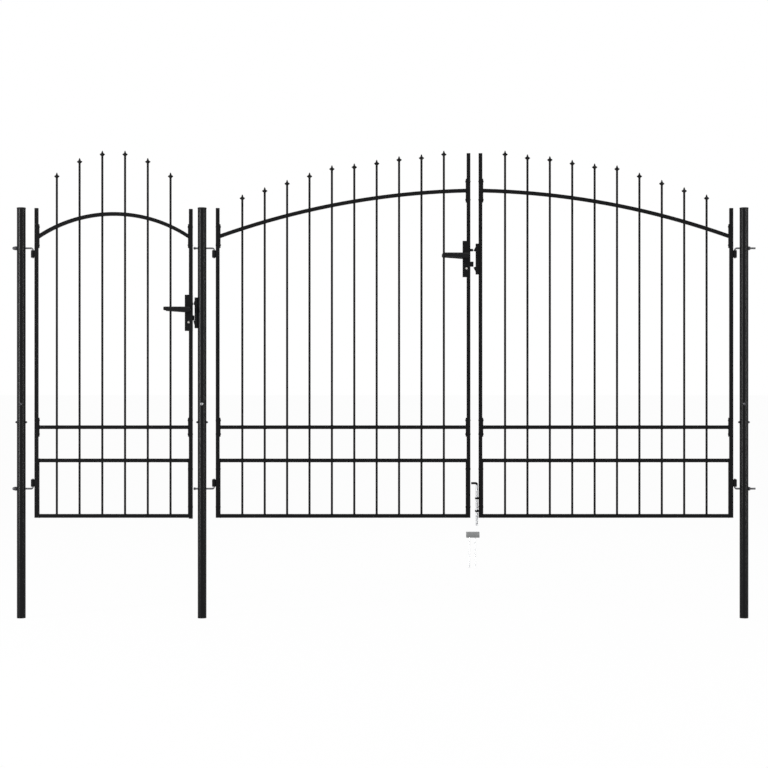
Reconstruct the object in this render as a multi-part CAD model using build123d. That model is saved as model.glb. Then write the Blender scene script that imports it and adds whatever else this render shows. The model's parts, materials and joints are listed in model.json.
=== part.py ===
from build123d import *
import os
from math import cos, radians, sin, sqrt

# All sizes are in millimetres.
# X runs to the right along the gate line, Y away from the street side, Z up.
# The origin is the centre of the middle post's foot.

# posts, with the stretch that is set in the ground
post_diameter = 48
post_wall = 2
post_height = 2247
cap_height = 8
cap_diameter = 49.4
cap_bevel = 2.5
small_bay = 990
double_bay = 2967

# leaves
tube = 20
tube_wall = 1.5
plug_thickness = 3
leaf_bottom = 549
small_leaf_width = 865
double_leaf_width = 1393
hinge_stile_height = 1695
meeting_stile_height = 1995
small_latch_stile_drop = 5

# rails, as heights of their centres over the leaf's foot
upper_rail_height = 495.5
lower_rail_height = 313.5
flat_bar = 5
rail_plate_height = 104
arch_plate_height = 130
small_arch_radius = 744
small_arch_crown = 1663
double_arch_radius = 4335
double_arch_crown = 1792
double_crown_past_middle = 60

# pickets, as heights of their points over the leaf's foot
picket_diameter = 12
picket_play = 0.2
small_picket_pitch = 124.5
small_picket_tips = (1890, 1970, 2010, 2010, 1970, 1890)
double_picket_pitch = 122.6
double_picket_tips = (1770, 1810, 1850, 1890, 1930, 1940, 1960, 1980, 1990, 2010)

# spear points: half width and half thickness at heights over the widest place
spear_stations = ((-10, 6, 6), (0, 13.5, 4.5), (7, 5.2, 4.2), (21, 1.0, 1.0))
spear_above_barb = 21
spear_below_barb = 10

# slim round bars and the holes that they fill are made with this many flats
bar_sides = 16
hole_sides = 6
bend_steps = 3

# hinges: bent threaded bolts through the posts, sleeves on the leaves
bolt_diameter = 10
bolt_length = 112
bolt_bend_radius = 10
bolt_hole_diameter = 10.6
top_bolt_height = 2024
bottom_bolt_height = 708
sleeve_diameter = 21
sleeve_bore = 10.6
sleeve_length = 40
sleeve_gap = 1
pin_to_stile = 10.5
pin_tail = 4
small_pin_reach = 63
left_pin_reach = 65
right_pin_reach = 49.5
nut_width = 17
nut_height = 10
nut_play = 0.1
cap_nut_width = 19
cap_nut_height = 24
cap_nut_hex_height = 13
cap_nut_bevel = 5

# locks
lock_height = 198
lock_width = 42
lock_plate = 4
lock_bevel = 2
small_lock_centre = 1121.5
double_lock_centre = 1416
lever_over_centre = 17.5
cylinder_under_centre = 52
latch_over_centre = 49
dead_bolt_under_centre = 28
spindle_side = 8
spindle_bore = 12.6
lever_length = 124
lever_root_radius = 15
lever_tip_radius = 9.5
lever_tip_rise = 4.7
lever_thickness = 12
lever_bevel = 3
lever_stand_off = 34
neck_diameter = 18
cylinder_diameter = 16
cylinder_sides = 24
cylinder_stand_out = 3
latch_height = 14
bolt_thickness = 9
dead_bolt_height = 28
slide_play = 0.5
small_latch_throw = 2.5
small_dead_bolt_throw = 9
double_latch_throw = 15.5
double_dead_bolt_throw = 17.5
latch_inner_length = 24
dead_bolt_inner_length = 18

# keeps
keep_height = 168
keep_depth = 16
keep_width = 30
keep_sheet = 3
keep_nose_height = 46
keep_shoulder_height = 68
keep_inner_height = 42
small_keep_nose = 22.5
double_keep_nose = 28

# drop bolt and its socket in the ground
drop_rod_diameter = 12
drop_rod_from_stile = 9.5
drop_rod_top = 744
drop_rod_tip = 506
drop_rod_bevel = 2
drop_arm_length = 31
drop_rod_bend = 12
guide_height = 10
guide_width = 20
guide_reach = 20
guide_heights = (656, 586)
guide_play = 0.5
guide_bevel = 5
socket_length = 72
socket_width = 40
socket_height = 30
socket_sheet = 3
socket_bevel = 3
socket_top = 471
socket_centre_from_gate_middle = -9
anchor_diameter = 7
anchor_length = 167
anchor_offsets = (-19, 13)

left_post_x = -small_bay
right_post_x = double_bay
made = {}


def store(name, shape):
    """Store a named piece, to be written at the end."""
    made[name] = shape


def brick(x_low, x_high, y_low, y_high, z_low, z_high):
    """A rectangular solid between two corners."""
    size = (x_high - x_low, y_high - y_low, z_high - z_low)
    middle = ((x_low + x_high) / 2, (y_low + y_high) / 2, (z_low + z_high) / 2)
    return Pos(*middle) * Box(*size)


def upright(x, z_low, z_high, radius, y=0):
    """A round bar standing along Z."""
    return Pos(x, y, (z_low + z_high) / 2) * Cylinder(radius, z_high - z_low)


def section(width, sides=bar_sides):
    """The outline of a slim bar, of this width across its flats."""
    return RegularPolygon(width / 2, sides, major_radius=False)


def slim_bar(x, z_low, z_high, width):
    """A slim round bar standing along Z."""
    return extrude(Plane(origin=(x, 0, z_low)) * section(width), z_high - z_low)


def hole_up(x, z_low, z_high, width):
    """What is cut away for a hole along Z."""
    return extrude(Plane(origin=(x, 0, z_low)) * section(width, hole_sides), z_high - z_low)


def hole_across(x_low, x_high, z, width):
    """What is cut away for a hole along X."""
    start = Plane(origin=(x_low, 0, z), x_dir=(0, 0, 1), z_dir=(1, 0, 0))
    return extrude(start * section(width, hole_sides), x_high - x_low)


def hole_through(x, reach, z, width):
    """What is cut away for a hole along Y, as far to both sides of the gate line."""
    start = Plane(origin=(x, -reach, z), x_dir=(1, 0, 0), z_dir=(0, 1, 0))
    return extrude(start * section(width, hole_sides), 2 * reach)


def post(x):
    """A round tube with holes for its two hinge bolts."""
    top = post_height - cap_height
    radius = post_diameter / 2
    shape = upright(x, 0, top, radius) - upright(x, 0, top, radius - post_wall)
    for z in (bottom_bolt_height, top_bolt_height):
        shape -= hole_across(x - post_diameter, x + post_diameter, z, bolt_hole_diameter)
    return shape


def post_cap(x):
    """A pressed cap with a bevelled rim that closes a post."""
    cap = upright(x, post_height - cap_height, post_height, cap_diameter / 2)
    rim = cap.edges().filter_by(GeomType.CIRCLE).sort_by(Axis.Z)[-1]
    return chamfer(rim, cap_bevel)


def bent_bar(start_x, corner_x, z, end_z, bend, width):
    """A slim bar that runs along X, turns at a rounded corner and ends upright."""
    side = 1 if corner_x > start_x else -1
    turn = 1 if end_z > z else -1
    step = radians(90 / bend_steps)
    stand_out = bend / cos(step / 2)
    points = [(start_x, 0, z)]
    for i in range(bend_steps):
        angle = (i + 0.5) * step
        x = corner_x - side * (bend - stand_out * sin(angle))
        points.append((x, 0, z + turn * (bend - stand_out * cos(angle))))
    points.append((corner_x, 0, end_z))
    start = Plane(origin=points[0], z_dir=(side, 0, 0))
    return sweep(start * section(width), path=Polyline(*points), transition=Transition.RIGHT)


def hinge_bolt(post_x, side, reach, z, turn):
    """A bolt through the post whose bent end points down (turn -1) or up (turn 1)."""
    pin_x = post_x + side * reach
    end_z = z + turn * (bolt_bend_radius + sleeve_gap + sleeve_length + pin_tail)
    start_x = pin_x - side * bolt_length
    return bent_bar(start_x, pin_x, z, end_z, bolt_bend_radius, bolt_diameter)


def nut_blank(post_x, side, z, width, height, sides=6):
    """A stub against the outer side of a post, with six flats or more."""
    face = post_x - side * post_diameter / 2
    start = Plane(origin=(face, 0, z), x_dir=(0, 0, 1), z_dir=(-side, 0, 0))
    return extrude(start * section(width, sides), height)


def nut(post_x, side, z):
    """A hexagon nut on the outer side of a post."""
    reach = post_diameter / 2 + nut_height + 1
    low, high = sorted((post_x - side * reach, post_x))
    hole = hole_across(low, high, z, bolt_diameter + 2 * nut_play)
    return nut_blank(post_x, side, z, nut_width, nut_height) - hole


def cap_nut(post_x, side, z):
    """A nut with a closed crown over the bolt's end."""
    crown = nut_blank(post_x, side, z, cap_nut_width - 1, cap_nut_height, bar_sides)
    crown_end = crown.faces().sort_by(Axis.X)[0 if side > 0 else -1]
    crown = chamfer(crown_end.edges(), cap_nut_bevel)
    bolt_end = post_x - side * (bolt_length - small_pin_reach)
    hole = hole_across(*sorted((bolt_end, post_x)), z, bolt_diameter + 2 * nut_play)
    return nut_blank(post_x, side, z, cap_nut_width, cap_nut_hex_height) + crown - hole


def stile(x_low, z_low, height):
    """A square tube, closed by a plug at its top."""
    shape = brick(x_low, x_low + tube, -tube / 2, tube / 2, z_low, z_low + height)
    inside = tube / 2 - tube_wall
    middle = x_low + tube / 2
    top = z_low + height - plug_thickness
    return shape - brick(middle - inside, middle + inside, -inside, inside, z_low, top)


def sleeves(pin_x):
    """The two hinge sleeves of a leaf, one under the top bolt, one over the bottom bolt."""
    pieces = []
    top = top_bolt_height - bolt_bend_radius - sleeve_gap
    bottom = bottom_bolt_height + bolt_bend_radius + sleeve_gap
    for low in (top - sleeve_length, bottom):
        high = low + sleeve_length
        pieces.append(
            upright(pin_x, low, high, sleeve_diameter / 2)
            - slim_bar(pin_x, low, high, sleeve_bore)
        )
    return pieces


def spear(x, tip):
    """A forged spear point with two barbs, ridged along its middle."""
    rings = []
    for height, half_width, half_thickness in spear_stations:
        z = tip - spear_above_barb + height
        corners = ((half_width, 0), (0, half_thickness), (-half_width, 0), (0, -half_thickness))
        rings.append([(x + across, y, z) for across, y in corners])
    faces = [facet(*rings[0]), facet(*rings[-1])]
    for lower, upper in zip(rings, rings[1:]):
        for i in range(4):
            j = (i + 1) % 4
            faces.append(facet(lower[i], lower[j], upper[i]))
            faces.append(facet(lower[j], upper[j], upper[i]))
    return Solid(Shell(faces))


def facet(*corners):
    """A flat face between three or four corners."""
    return Face(Wire.make_polygon(corners, close=True))


def picket(x, tip):
    """A round bar that stands on the bottom rail and ends in a spear point."""
    foot = leaf_bottom + tube
    neck = tip - spear_above_barb - spear_below_barb
    return slim_bar(x, foot, neck, picket_diameter) + spear(x, tip)


def punched(bar, picket_places):
    """Cut a hole through a rail for each picket."""
    box = bar.bounding_box()
    for x in picket_places:
        bar -= hole_up(x, box.min.Z - 1, box.max.Z + 1, picket_diameter + 2 * picket_play)
    return bar


def flat_plate(x_low, z_middle, height):
    """A flat bar that a rail ends in, against the stile."""
    low, high = z_middle - height / 2, z_middle + height / 2
    return brick(x_low, x_low + flat_bar, -tube / 2, tube / 2, low, high)


def arch(x_low, x_high, crown_x, crown_z, radius):
    """A curved tube between two end plates, with its outer and inner lines as arcs."""

    def height(x, r):
        return crown_z - radius + sqrt(r**2 - (x - crown_x) ** 2)

    outer, inner = radius + tube / 2, radius - tube / 2
    a, b = x_low + flat_bar, x_high - flat_bar
    m = (a + b) / 2
    lines = [
        ThreePointArc((a, height(a, outer)), (m, height(m, outer)), (b, height(b, outer))),
        Line((b, height(b, outer)), (b, height(b, inner))),
        ThreePointArc((b, height(b, inner)), (m, height(m, inner)), (a, height(a, inner))),
        Line((a, height(a, inner)), (a, height(a, outer))),
    ]
    outline = Plane.XZ * make_face(lines)
    bar = extrude(outline, tube / 2, both=True)
    bar += flat_plate(x_low, height(a, radius), arch_plate_height)
    bar += flat_plate(b, height(b, radius), arch_plate_height)
    return bar


def leaf(name, x_low, width, tips, pitch, crown_x, crown_z, radius, stile_heights, drops):
    """All fixed pieces of one leaf, between its left and right outer faces."""
    x_high = x_low + width
    inner_low, inner_high = x_low + tube, x_high - tube
    first = (x_low + x_high - pitch * (len(tips) - 1)) / 2
    places = [first + i * pitch for i in range(len(tips))]
    left_height, right_height = stile_heights
    left_drop, right_drop = drops
    left = stile(x_low, leaf_bottom - left_drop, left_height)
    right = stile(inner_high, leaf_bottom - right_drop, right_height)

    bar_a, bar_b = inner_low + flat_bar, inner_high - flat_bar
    upper_z = leaf_bottom + upper_rail_height
    lower_z = leaf_bottom + lower_rail_height
    half = tube / 2
    upper = brick(bar_a, bar_b, -half, half, upper_z - half, upper_z + half)
    upper += flat_plate(inner_low, upper_z, rail_plate_height)
    upper += flat_plate(bar_b, upper_z, rail_plate_height)
    lower = brick(bar_a, bar_b, -half, half, lower_z - half, lower_z + half)
    bottom = brick(bar_a, bar_b, -half, half, leaf_bottom, leaf_bottom + tube)
    side_bars = [
        brick(x, x + flat_bar, -half, half, leaf_bottom, lower_z + half)
        for x in (inner_low, bar_b)
    ]
    curve = arch(inner_low, inner_high, crown_x, leaf_bottom + crown_z, radius)
    store(name + "_arch", punched(curve, places))
    store(name + "_upper_rail", punched(upper, places))
    store(name + "_lower_rails", Compound([punched(lower, places), bottom]))
    store(name + "_side_bars", Compound(side_bars))
    bars = [picket(x, leaf_bottom + tip) for x, tip in zip(places, tips)]
    store(name + "_pickets", Compound(bars))
    return left, right


def lock(name, edge_x, centre, latch_throw, dead_bolt_throw, latch_stile):
    """A lock on the stile whose outer face is at edge_x, with its lever, cylinder and bolts."""
    inner_x = edge_x - lock_width
    middle_x = edge_x - lock_width / 2
    stile_x = edge_x - tube
    half = tube / 2
    low, high = centre - lock_height / 2, centre + lock_height / 2
    case = brick(inner_x, stile_x, -half, half, low, high)
    for side in (-1, 1):
        near, far = sorted((side * half, side * (half + lock_plate)))
        plate = brick(inner_x, edge_x, near, far, low, high)
        case += chamfer(plate.edges().filter_by(Axis.Y), lock_bevel)
    latch_z = centre + latch_over_centre
    dead_z = centre - dead_bolt_under_centre
    lever_z = centre + lever_over_centre
    cylinder_z = centre - cylinder_under_centre
    reach = half + lock_plate + 1
    spindle_hole = hole_through(middle_x, reach, lever_z, spindle_bore)
    cylinder_hole = hole_through(middle_x, reach, cylinder_z, cylinder_diameter + 2 * nut_play)
    slots = []
    for z, height in ((latch_z, latch_height), (dead_z, dead_bolt_height)):
        half_height = height / 2 + slide_play
        half_thick = bolt_thickness / 2 + slide_play
        slots.append(
            brick(inner_x + 2, edge_x + 1, -half_thick, half_thick, z - half_height, z + half_height)
        )
    for cut in (spindle_hole, cylinder_hole, *slots):
        case -= cut
        latch_stile -= cut
    store(name + "_lock_case", case)
    end = half + lock_plate + cylinder_stand_out
    store(name + "_lock_cylinder", key_cylinder(middle_x, cylinder_z, end))
    store(name + "_lever", lever(middle_x, lever_z, half + lock_plate))

    thick = bolt_thickness / 2
    latch = brick(
        edge_x - latch_inner_length, edge_x + latch_throw, -thick, thick,
        latch_z - latch_height / 2, latch_z + latch_height / 2,
    )
    bevel = min(latch_throw, bolt_thickness - 2)
    nose = latch.edges().filter_by(Axis.Z).sort_by(Axis.X)[-2:].sort_by(Axis.Y)[-1]
    store(name + "_latch", chamfer(nose, bevel))
    dead = brick(
        edge_x - dead_bolt_inner_length, edge_x + dead_bolt_throw, -thick, thick,
        dead_z - dead_bolt_height / 2, dead_z + dead_bolt_height / 2,
    )
    front = dead.faces().sort_by(Axis.X)[-1]
    store(name + "_dead_bolt", chamfer(front.edges(), 1))
    return latch_stile


def key_cylinder(x, z, end):
    """A round lock cylinder with a key slot at each end."""
    start = Plane(origin=(x, -end, z), x_dir=(1, 0, 0), z_dir=(0, 1, 0))
    body = extrude(start * section(cylinder_diameter, cylinder_sides), 2 * end)
    for side in (-1, 1):
        y_low, y_high = sorted((side * (end - 3), side * (end + 1)))
        body -= brick(x - 1, x + 1, y_low, y_high, z - 4.5, z + 4.5)
    return body


def lever(x, z, face):
    """A pair of lever handles on one square spindle, tapering towards their tips."""
    half = spindle_side / 2
    reach = face + lever_stand_off
    shape = brick(x - half, x + half, -reach, reach, z - half, z + half)
    outline = make_hull(
        [*Circle(lever_root_radius).edges()]
        + [*(Pos(-lever_length, lever_tip_rise) * Circle(lever_tip_radius)).edges()]
    )
    front = Plane(origin=(x, -reach, z), x_dir=(1, 0, 0), z_dir=(0, -1, 0))
    grip = extrude(front * outline, lever_thickness)
    grip = chamfer(grip.faces().sort_by(Axis.Y)[0].edges(), lever_bevel)
    neck = extrude(front * section(neck_diameter), -(lever_stand_off - slide_play))
    for handle in (grip, neck):
        shape += [handle, handle.mirror(Plane.XZ)]
    return shape


def keep(x, side, centre, nose):
    """A channel on a face at x, open towards the lock, whose cheeks have two lead-in noses."""
    half = keep_height / 2
    outline = [
        (0, half),
        (keep_depth, half),
        (keep_depth, keep_shoulder_height),
        (nose, keep_nose_height),
        (keep_depth, keep_inner_height),
        (keep_depth, -keep_inner_height),
        (nose, -keep_nose_height),
        (keep_depth, -keep_shoulder_height),
        (keep_depth, -half),
        (0, -half),
    ]
    at = Plane(origin=(x, 0, centre), x_dir=(side, 0, 0), z_dir=(0, -side, 0))
    cheeks = extrude(at * make_face(Polyline(*outline, close=True)), keep_width / 2, both=True)
    inside = keep_width / 2 - keep_sheet
    x_low, x_high = sorted((x + side * keep_sheet, x + side * (nose + 1)))
    return cheeks - brick(x_low, x_high, -inside, inside, centre - half - 1, centre + half + 1)


def guides(stile_x, rod_x):
    """Two guides on the stile that the drop bolt slides through."""
    pieces = []
    for z in guide_heights:
        low, high = z - guide_height / 2, z + guide_height / 2
        block = brick(stile_x - guide_reach, stile_x, -guide_width / 2, guide_width / 2, low, high)
        block = chamfer(block.edges().filter_by(Axis.Z).sort_by(Axis.X)[:2], guide_bevel)
        pieces.append(block - hole_up(rod_x, low, high, drop_rod_diameter + 2 * guide_play))
    return pieces


def drop_bolt(x):
    """A round rod with its top bent over as an arm to lift it by."""
    arm_z = drop_rod_top - drop_rod_diameter / 2
    start_x = x - drop_arm_length
    rod = bent_bar(start_x, x, arm_z, drop_rod_tip, drop_rod_bend, drop_rod_diameter)
    return chamfer(rod.faces().sort_by(Axis.Z)[0].edges(), drop_rod_bevel)


def ground_socket(x):
    """A shallow steel cup for the drop bolt on two anchor rods."""
    low = socket_top - socket_height
    floor = brick(
        x - socket_length / 2, x + socket_length / 2,
        -socket_width / 2, socket_width / 2, low, socket_top,
    )
    cup = chamfer(floor.edges().filter_by(Axis.Z), socket_bevel)
    inner = (socket_length - 2 * socket_sheet, socket_width - 2 * socket_sheet, socket_height)
    hollow = Pos(x, 0, socket_top + socket_sheet - socket_height / 2) * Box(*inner)
    cup -= hollow
    for offset_x in anchor_offsets:
        cup += slim_bar(x + offset_x, low - anchor_length, low, anchor_diameter)
    return cup


# posts
store("left_post", post(left_post_x))
store("middle_post", post(0))
store("right_post", post(right_post_x))
store("post_caps", Compound([post_cap(x) for x in (left_post_x, 0, right_post_x)]))

# hinge bolts, with the pin bent down at the top and up at the bottom
hinges = (
    (left_post_x, 1, small_pin_reach),
    (0, 1, left_pin_reach),
    (right_post_x, -1, right_pin_reach),
)
bolts = []
for post_x, side, reach in hinges:
    for z, turn in ((top_bolt_height, -1), (bottom_bolt_height, 1)):
        bolts.append(hinge_bolt(post_x, side, reach, z, turn))
store("hinge_bolts", Compound(bolts))
nuts = []
for z in (top_bolt_height, bottom_bolt_height):
    nuts.append(cap_nut(left_post_x, 1, z))
    nuts.append(nut(right_post_x, -1, z))
store("hinge_nuts", Compound(nuts))

# where the leaves hang
small_pin_x = left_post_x + small_pin_reach
left_pin_x = left_pin_reach
right_pin_x = right_post_x - right_pin_reach
small_x = small_pin_x + pin_to_stile
left_x = left_pin_x + pin_to_stile
right_edge_x = right_pin_x - pin_to_stile
right_x = right_edge_x - double_leaf_width
small_edge_x = small_x + small_leaf_width
left_edge_x = left_x + double_leaf_width
gate_middle_x = (left_edge_x + right_x) / 2

# small leaf
hinge_side, latch_side = leaf(
    "small", small_x, small_leaf_width, small_picket_tips, small_picket_pitch,
    small_x + small_leaf_width / 2, small_arch_crown, small_arch_radius,
    (hinge_stile_height, hinge_stile_height), (0, small_latch_stile_drop),
)
small_lock_z = leaf_bottom + small_lock_centre
latch_side = lock(
    "small", small_edge_x, small_lock_z, small_latch_throw, small_dead_bolt_throw, latch_side
)
store("small_hinge_stile", hinge_side)
store("small_latch_stile", latch_side)
store("small_hinge_sleeves", Compound(sleeves(small_pin_x)))
store("small_keep", keep(-post_diameter / 2, -1, small_lock_z, small_keep_nose))

# left leaf of the double gate
hinge_side, latch_side = leaf(
    "left", left_x, double_leaf_width, double_picket_tips, double_picket_pitch,
    gate_middle_x + double_crown_past_middle, double_arch_crown, double_arch_radius,
    (hinge_stile_height, meeting_stile_height), (0, 0),
)
double_lock_z = leaf_bottom + double_lock_centre
latch_side = lock(
    "double", left_edge_x, double_lock_z, double_latch_throw, double_dead_bolt_throw, latch_side
)
store("left_hinge_stile", hinge_side)
store("left_meeting_stile", latch_side)
store("left_hinge_sleeves", Compound(sleeves(left_pin_x)))

# right leaf of the double gate
meeting_side, hinge_side = leaf(
    "right", right_x, double_leaf_width, double_picket_tips[::-1], double_picket_pitch,
    gate_middle_x - double_crown_past_middle, double_arch_crown, double_arch_radius,
    (meeting_stile_height, hinge_stile_height), (0, 0),
)
store("right_hinge_stile", hinge_side)
store("right_meeting_stile", meeting_side)
store("right_hinge_sleeves", Compound(sleeves(right_pin_x)))
store("double_keep", keep(right_x, -1, double_lock_z, double_keep_nose))
rod_x = right_x - drop_rod_from_stile
store("drop_bolt_guides", Compound(guides(right_x, rod_x)))
store("drop_bolt", drop_bolt(rod_x))
store("ground_socket", ground_socket(gate_middle_x + socket_centre_from_gate_middle))

os.makedirs("parts", exist_ok=True)
for name, shape in made.items():
    shape.label = name
    export_step(shape, "parts/" + name + ".step")
print(len(made), "pieces written")
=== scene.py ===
# %% [markdown]
# # A garden gate set in powder-coated steel
#
# The set has three round posts, a side gate of one leaf and a double gate of two leaves. The sizes and
# places of all pieces come from the frame, which is loaded first. Each lesson dresses one kind of piece.
#
# Steel tube is never quite sharp: a square tube has rounded corners, a forged point has soft ridges and
# a weld stands proud. Those small forms are what makes black steel readable, so most lessons add them.

import json
from math import cos, pi, radians, sin, sqrt, tau

import bmesh
import bpy
from mathutils import Matrix, Vector

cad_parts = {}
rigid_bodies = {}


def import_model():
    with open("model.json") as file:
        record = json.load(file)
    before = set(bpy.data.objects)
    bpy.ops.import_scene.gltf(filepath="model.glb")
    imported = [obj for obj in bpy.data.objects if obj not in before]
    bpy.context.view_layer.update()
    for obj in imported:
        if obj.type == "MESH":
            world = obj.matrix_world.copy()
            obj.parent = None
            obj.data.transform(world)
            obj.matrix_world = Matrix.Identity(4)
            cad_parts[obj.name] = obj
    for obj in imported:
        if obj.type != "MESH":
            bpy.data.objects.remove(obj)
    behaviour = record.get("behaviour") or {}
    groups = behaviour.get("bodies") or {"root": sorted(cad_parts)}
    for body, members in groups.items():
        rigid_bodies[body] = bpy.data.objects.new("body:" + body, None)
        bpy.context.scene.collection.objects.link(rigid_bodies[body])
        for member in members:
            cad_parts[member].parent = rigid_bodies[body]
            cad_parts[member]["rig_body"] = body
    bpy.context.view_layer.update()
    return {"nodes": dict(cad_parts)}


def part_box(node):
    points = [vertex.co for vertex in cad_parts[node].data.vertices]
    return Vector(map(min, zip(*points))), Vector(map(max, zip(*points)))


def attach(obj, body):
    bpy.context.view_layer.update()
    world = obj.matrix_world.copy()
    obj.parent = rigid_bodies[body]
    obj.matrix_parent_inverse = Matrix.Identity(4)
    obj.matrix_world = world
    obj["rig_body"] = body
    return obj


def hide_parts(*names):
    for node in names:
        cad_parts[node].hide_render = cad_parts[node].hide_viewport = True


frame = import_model()
body_of_node = {name: piece["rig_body"] for name, piece in frame["nodes"].items()}
mm = 0.001

# %% [markdown]
# ## Reading places from the frame
#
# A node holds several loose solids, such as ten pickets. Where each one stands could be typed in again,
# but then the two files could drift apart. Here every loose solid of a node is found by walking along its
# triangles, and its lowest and highest corners are kept.


# %% Boxes of a node's loose solids
def solid_boxes(node):
    """Lowest and highest corners of each loose solid of a node, from left to right."""
    mesh = frame["nodes"][node].data
    owner = {}

    def root(key):
        while owner[key] != key:
            owner[key] = owner[owner[key]]
            key = owner[key]
        return key

    keys = [tuple(round(value, 6) for value in vertex.co) for vertex in mesh.vertices]
    for key in keys:
        owner.setdefault(key, key)
    for face in mesh.polygons:
        first, *others = [keys[i] for i in face.vertices]
        for other in others:
            owner[root(other)] = root(first)
    groups = {}
    for key in owner:
        groups.setdefault(root(key), []).append(key)
    found = []
    for points in groups.values():
        low = Vector([min(p[i] for p in points) for i in range(3)])
        high = Vector([max(p[i] for p in points) for i in range(3)])
        found.append((low, high))
    return sorted(found, key=lambda pair: (round(pair[0].x, 4), pair[0].z))


leaves = {"small": "small_leaf", "left": "left_leaf", "right": "right_leaf"}
pickets = {leaf: solid_boxes(leaf + "_pickets") for leaf in leaves}
posts = [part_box(name) for name in ("left_post", "middle_post", "right_post")]
print({leaf: len(boxes) for leaf, boxes in pickets.items()}, "pickets")

# %% [markdown]
# ## Camera
#
# The set is shown straight from the front, from far away, so that its posts stay parallel. A lens of
# about 86 mm at ten metres does that, as a product photographer would choose it.

# %% Camera
camera_distance = 10.0
view_width = 4.205
middle_x = 0.996
view_middle = Vector((middle_x, 0, 1.281))
sensor_width = 36.0

camera_data = bpy.data.cameras.new("front_camera")
camera_data.sensor_width = sensor_width
camera_data.lens = sensor_width * camera_distance / view_width
camera = bpy.data.objects.new("front_camera", camera_data)
bpy.context.scene.collection.objects.link(camera)
camera.location = view_middle + Vector((0, -camera_distance, 0))
camera.rotation_euler = (radians(90), 0, 0)
bpy.context.scene.camera = camera
print("lens", round(camera_data.lens, 1), "mm")

# %% [markdown]
# ## Light
#
# Black steel shows almost nothing but reflections. Two tall soft boxes stand far to the sides, so that a
# round post gets one bright and one dim upright streak. A large soft light above the camera and one
# behind the gate lift the flat faces a little. The world and the floor are white for the camera and for
# reflections. For all other rays the world is a weak, even fill. The floor is matt for them, and a trace
# of that shows to the camera too, so that it keeps the gate's shadow.


# %% Soft boxes
light_aim = Vector((middle_x, 0, 1.2))


def soft_box(name, place, width, height, power):
    """A rectangular area light that points at the middle of the gate."""
    data = bpy.data.lights.new(name, "AREA")
    data.shape = "RECTANGLE"
    data.size, data.size_y = width, height
    data.energy = power
    lamp = bpy.data.objects.new(name, data)
    bpy.context.scene.collection.objects.link(lamp)
    lamp.location = place
    lamp.rotation_euler = (light_aim - Vector(place)).to_track_quat("-Z", "Y").to_euler()


soft_box("left_box", place=(-5.2, -4.2, 1.8), width=0.6, height=4.0, power=520)
soft_box("right_box", place=(7.5, -4.6, 1.8), width=0.8, height=4.0, power=280)
soft_box("top_box", place=(middle_x, -5.0, 5.5), width=5.0, height=2.5, power=120)
soft_box("back_box", place=(middle_x, 5.0, 5.0), width=5.0, height=2.5, power=100)
print("lamps", len(bpy.data.lights))


# %% World
def new_node(tree, kind, **values):
    """A shader node whose named inputs are set."""
    node = tree.nodes.new(kind)
    for socket, value in values.items():
        node.inputs[socket].default_value = value
    return node


def mixed(tree, share, first, second):
    """A mix of two shaders by a socket."""
    mix = tree.nodes.new("ShaderNodeMixShader")
    tree.links.new(share, mix.inputs["Fac"])
    tree.links.new(first, mix.inputs[1])
    tree.links.new(second, mix.inputs[2])
    return mix.outputs[0]


def math_node(tree, operation, first, second):
    """A Math node; each side is a number or a socket."""
    node = tree.nodes.new("ShaderNodeMath")
    node.operation = operation
    for i, value in enumerate((first, second)):
        if isinstance(value, (int, float)):
            node.inputs[i].default_value = value
        else:
            tree.links.new(value, node.inputs[i])
    return node.outputs[0]


def seen_rays(tree):
    """One for camera, glossy and transmission rays, and zero for all others."""
    ray = tree.nodes.new("ShaderNodeLightPath").outputs
    seen = math_node(tree, "MAXIMUM", ray["Is Camera Ray"], ray["Is Glossy Ray"])
    return math_node(tree, "MAXIMUM", seen, ray["Is Transmission Ray"])


fill_strength = 0.32
white = (1, 1, 1, 1)
world = bpy.data.worlds.new("studio")
bpy.context.scene.world = world
world.use_nodes = True
sky = world.node_tree
sky.nodes.clear()
shown = new_node(sky, "ShaderNodeBackground", Color=white)
fill = new_node(sky, "ShaderNodeBackground", Color=white, Strength=fill_strength)
sky_mix = mixed(sky, seen_rays(sky), fill.outputs[0], shown.outputs[0])
sky.links.new(sky_mix, sky.nodes.new("ShaderNodeOutputWorld").inputs["Surface"])
print("fill", fill_strength)

# %% Floor
floor_size = 400.0
floor_glow = 0.97
floor_grey = (0.9, 0.9, 0.9, 1)
bpy.ops.mesh.primitive_plane_add(size=floor_size, location=(middle_x, 0, -1 * mm))
floor = bpy.context.object
floor.name = "floor"
paint = bpy.data.materials.new("pale_floor")
paint.use_nodes = True
ground = paint.node_tree
ground.nodes.clear()
matt = new_node(ground, "ShaderNodeBsdfDiffuse", Color=floor_grey)
glow = new_node(ground, "ShaderNodeEmission", Color=white)
nearly_white = math_node(ground, "MULTIPLY", seen_rays(ground), floor_glow)
floor_mix = mixed(ground, nearly_white, matt.outputs[0], glow.outputs[0])
ground.links.new(floor_mix, ground.nodes.new("ShaderNodeOutputMaterial").inputs["Surface"])
floor.data.materials.append(paint)
bpy.context.scene.view_settings.view_transform = "Standard"
print("floor", floor_size, "m")

# %% [markdown]
# ## Finishes
#
# Powder coat is a baked plastic skin. Close up it has a fine orange peel, a slightly uneven sheen and,
# lying outdoors, a little pale dust on whatever faces up. These effects appear on several materials, so
# each is one node group with named sockets, placed with its own values.


# %% Tools for node groups
def new_group(name, inputs, outputs):
    """A shader group with its sockets and its two end nodes."""
    group = bpy.data.node_groups.new(name, "ShaderNodeTree")
    for socket, default in inputs.items():
        made = group.interface.new_socket(socket, in_out="INPUT", socket_type="NodeSocketFloat")
        made.default_value = default
    for socket in outputs:
        group.interface.new_socket(socket, in_out="OUTPUT", socket_type="NodeSocketFloat")
    return group, group.nodes.new("NodeGroupInput").outputs, group.nodes.new("NodeGroupOutput").inputs


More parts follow.
